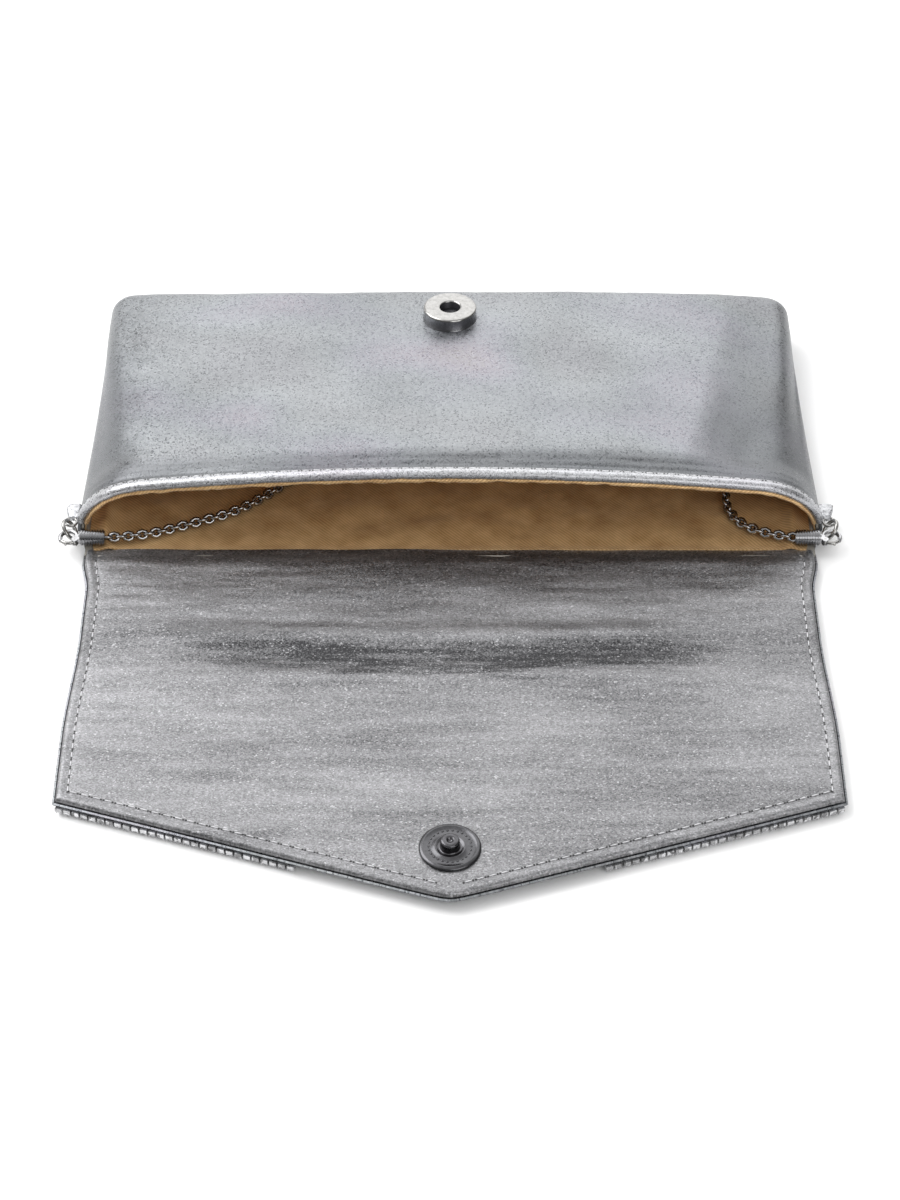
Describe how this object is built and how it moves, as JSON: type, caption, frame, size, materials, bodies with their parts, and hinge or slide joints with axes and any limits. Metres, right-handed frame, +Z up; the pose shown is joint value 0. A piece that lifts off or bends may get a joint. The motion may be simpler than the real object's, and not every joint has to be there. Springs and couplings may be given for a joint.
{
  "type": "evening bag",
  "caption": "Slim silver envelope clutch lying open on its back, with a V-shaped flap, magnetic snap, rhinestone trim and a detachable chain strap clipped to rings at the mouth.",
  "frame": {"origin": "on the surface the bag lies on, under the middle of the open bag's box", "axes": "+Y from the open flap into the bag, +X across the bag, +Z up through the front panel"},
  "size_m": [0.1956, 0.2075, 0.0251],
  "materials": {
    "silver_fabric": "silver lurex weave with fine sparkle",
    "lame_lining": "silver lame with horizontal streaks",
    "gold_lining": "gold tan satin twill",
    "binding_fabric": "bright silver binding strip",
    "board": "grey stiffener board",
    "nickel": "polished nickel plate",
    "gunmetal": "dark gunmetal plate",
    "magnet_iron": "dark magnet and steel core",
    "chain_metal": "silver plated chain",
    "silver_settings": "silver plated settings",
    "stones": "clear faceted crystal"
  },
  "bodies": {
    "bag": {"back_panel": "silver_fabric", "front_panel": "silver_fabric", "gusset_left": "silver_fabric", "gusset_right": "silver_fabric", "back_board": "board", "front_board": "board", "back_lining": "gold_lining", "front_lining": "gold_lining", "gusset_lining_left": "gold_lining", "gusset_lining_right": "gold_lining", "mouth_binding": "binding_fabric", "snap_socket_cap": "nickel", "snap_magnet": "magnet_iron", "snap_socket_core": "magnet_iron", "snap_socket_plate": "nickel", "ring_tab_left": "silver_fabric", "ring_tab_right": "silver_fabric", "ring_loop_left": "nickel", "ring_loop_right": "nickel", "clasp_body_left": "nickel", "clasp_body_right": "nickel", "clasp_pin_left": "nickel", "clasp_pin_right": "nickel", "chain_end_left": "nickel", "chain_end_right": "nickel", "chain_run_left": "chain_metal", "chain_run_right": "chain_metal", "chain_coil": "chain_metal"},
    "flap_spine": {"flap_spine_outer": "silver_fabric", "flap_spine_board": "board", "flap_spine_lining": "lame_lining"},
    "flap_front": {"flap_outer": "silver_fabric", "flap_board": "board", "flap_lining": "lame_lining", "snap_stud_plate": "nickel", "snap_stud_disc": "gunmetal", "snap_stud": "gunmetal", "trim_settings_left": "silver_settings", "trim_settings_right": "silver_settings", "trim_stones_left": "stones", "trim_stones_right": "stones"},
    "ring_left": {"strap_ring_left": "nickel"},
    "ring_right": {"strap_ring_right": "nickel"},
    "lever_left": {"clasp_lever_left": "nickel"},
    "lever_right": {"clasp_lever_right": "nickel"}
  },
  "joints": [
    {"name": "flap_hinge", "type": "hinge", "parent": "bag", "child": "flap_spine", "pos_m": [0, 0.01185, 0.0022], "axis": [-1, 0, 0], "range_deg": [0, 93.58]},
    {"name": "flap_fold", "type": "hinge", "parent": "flap_spine", "child": "flap_front", "pos_m": [0, -0.0167, 0.00305], "axis": [-1, 0, 0], "range_deg": [0, 91.71]},
    {"name": "ring_left_swing", "type": "hinge", "parent": "bag", "child": "ring_left", "pos_m": [-0.095, 0.01835, 0.0043], "axis": [0, 1, 0], "range_deg": [-12, 35]},
    {"name": "ring_right_swing", "type": "hinge", "parent": "bag", "child": "ring_right", "pos_m": [0.095, 0.01835, 0.0043], "axis": [0, -1, 0], "range_deg": [-12, 35]},
    {"name": "clasp_lever_left_press", "type": "hinge", "parent": "bag", "child": "lever_left", "pos_m": [-0.09338, 0.01404, 0.0043], "axis": [0, 0, -1], "range_deg": [0, 16], "stiffness_Nm_per_rad": 0.001},
    {"name": "clasp_lever_right_press", "type": "hinge", "parent": "bag", "child": "lever_right", "pos_m": [0.09338, 0.01404, 0.0043], "axis": [0, 0, 1], "range_deg": [0, 16], "stiffness_Nm_per_rad": 0.001}
  ]
}
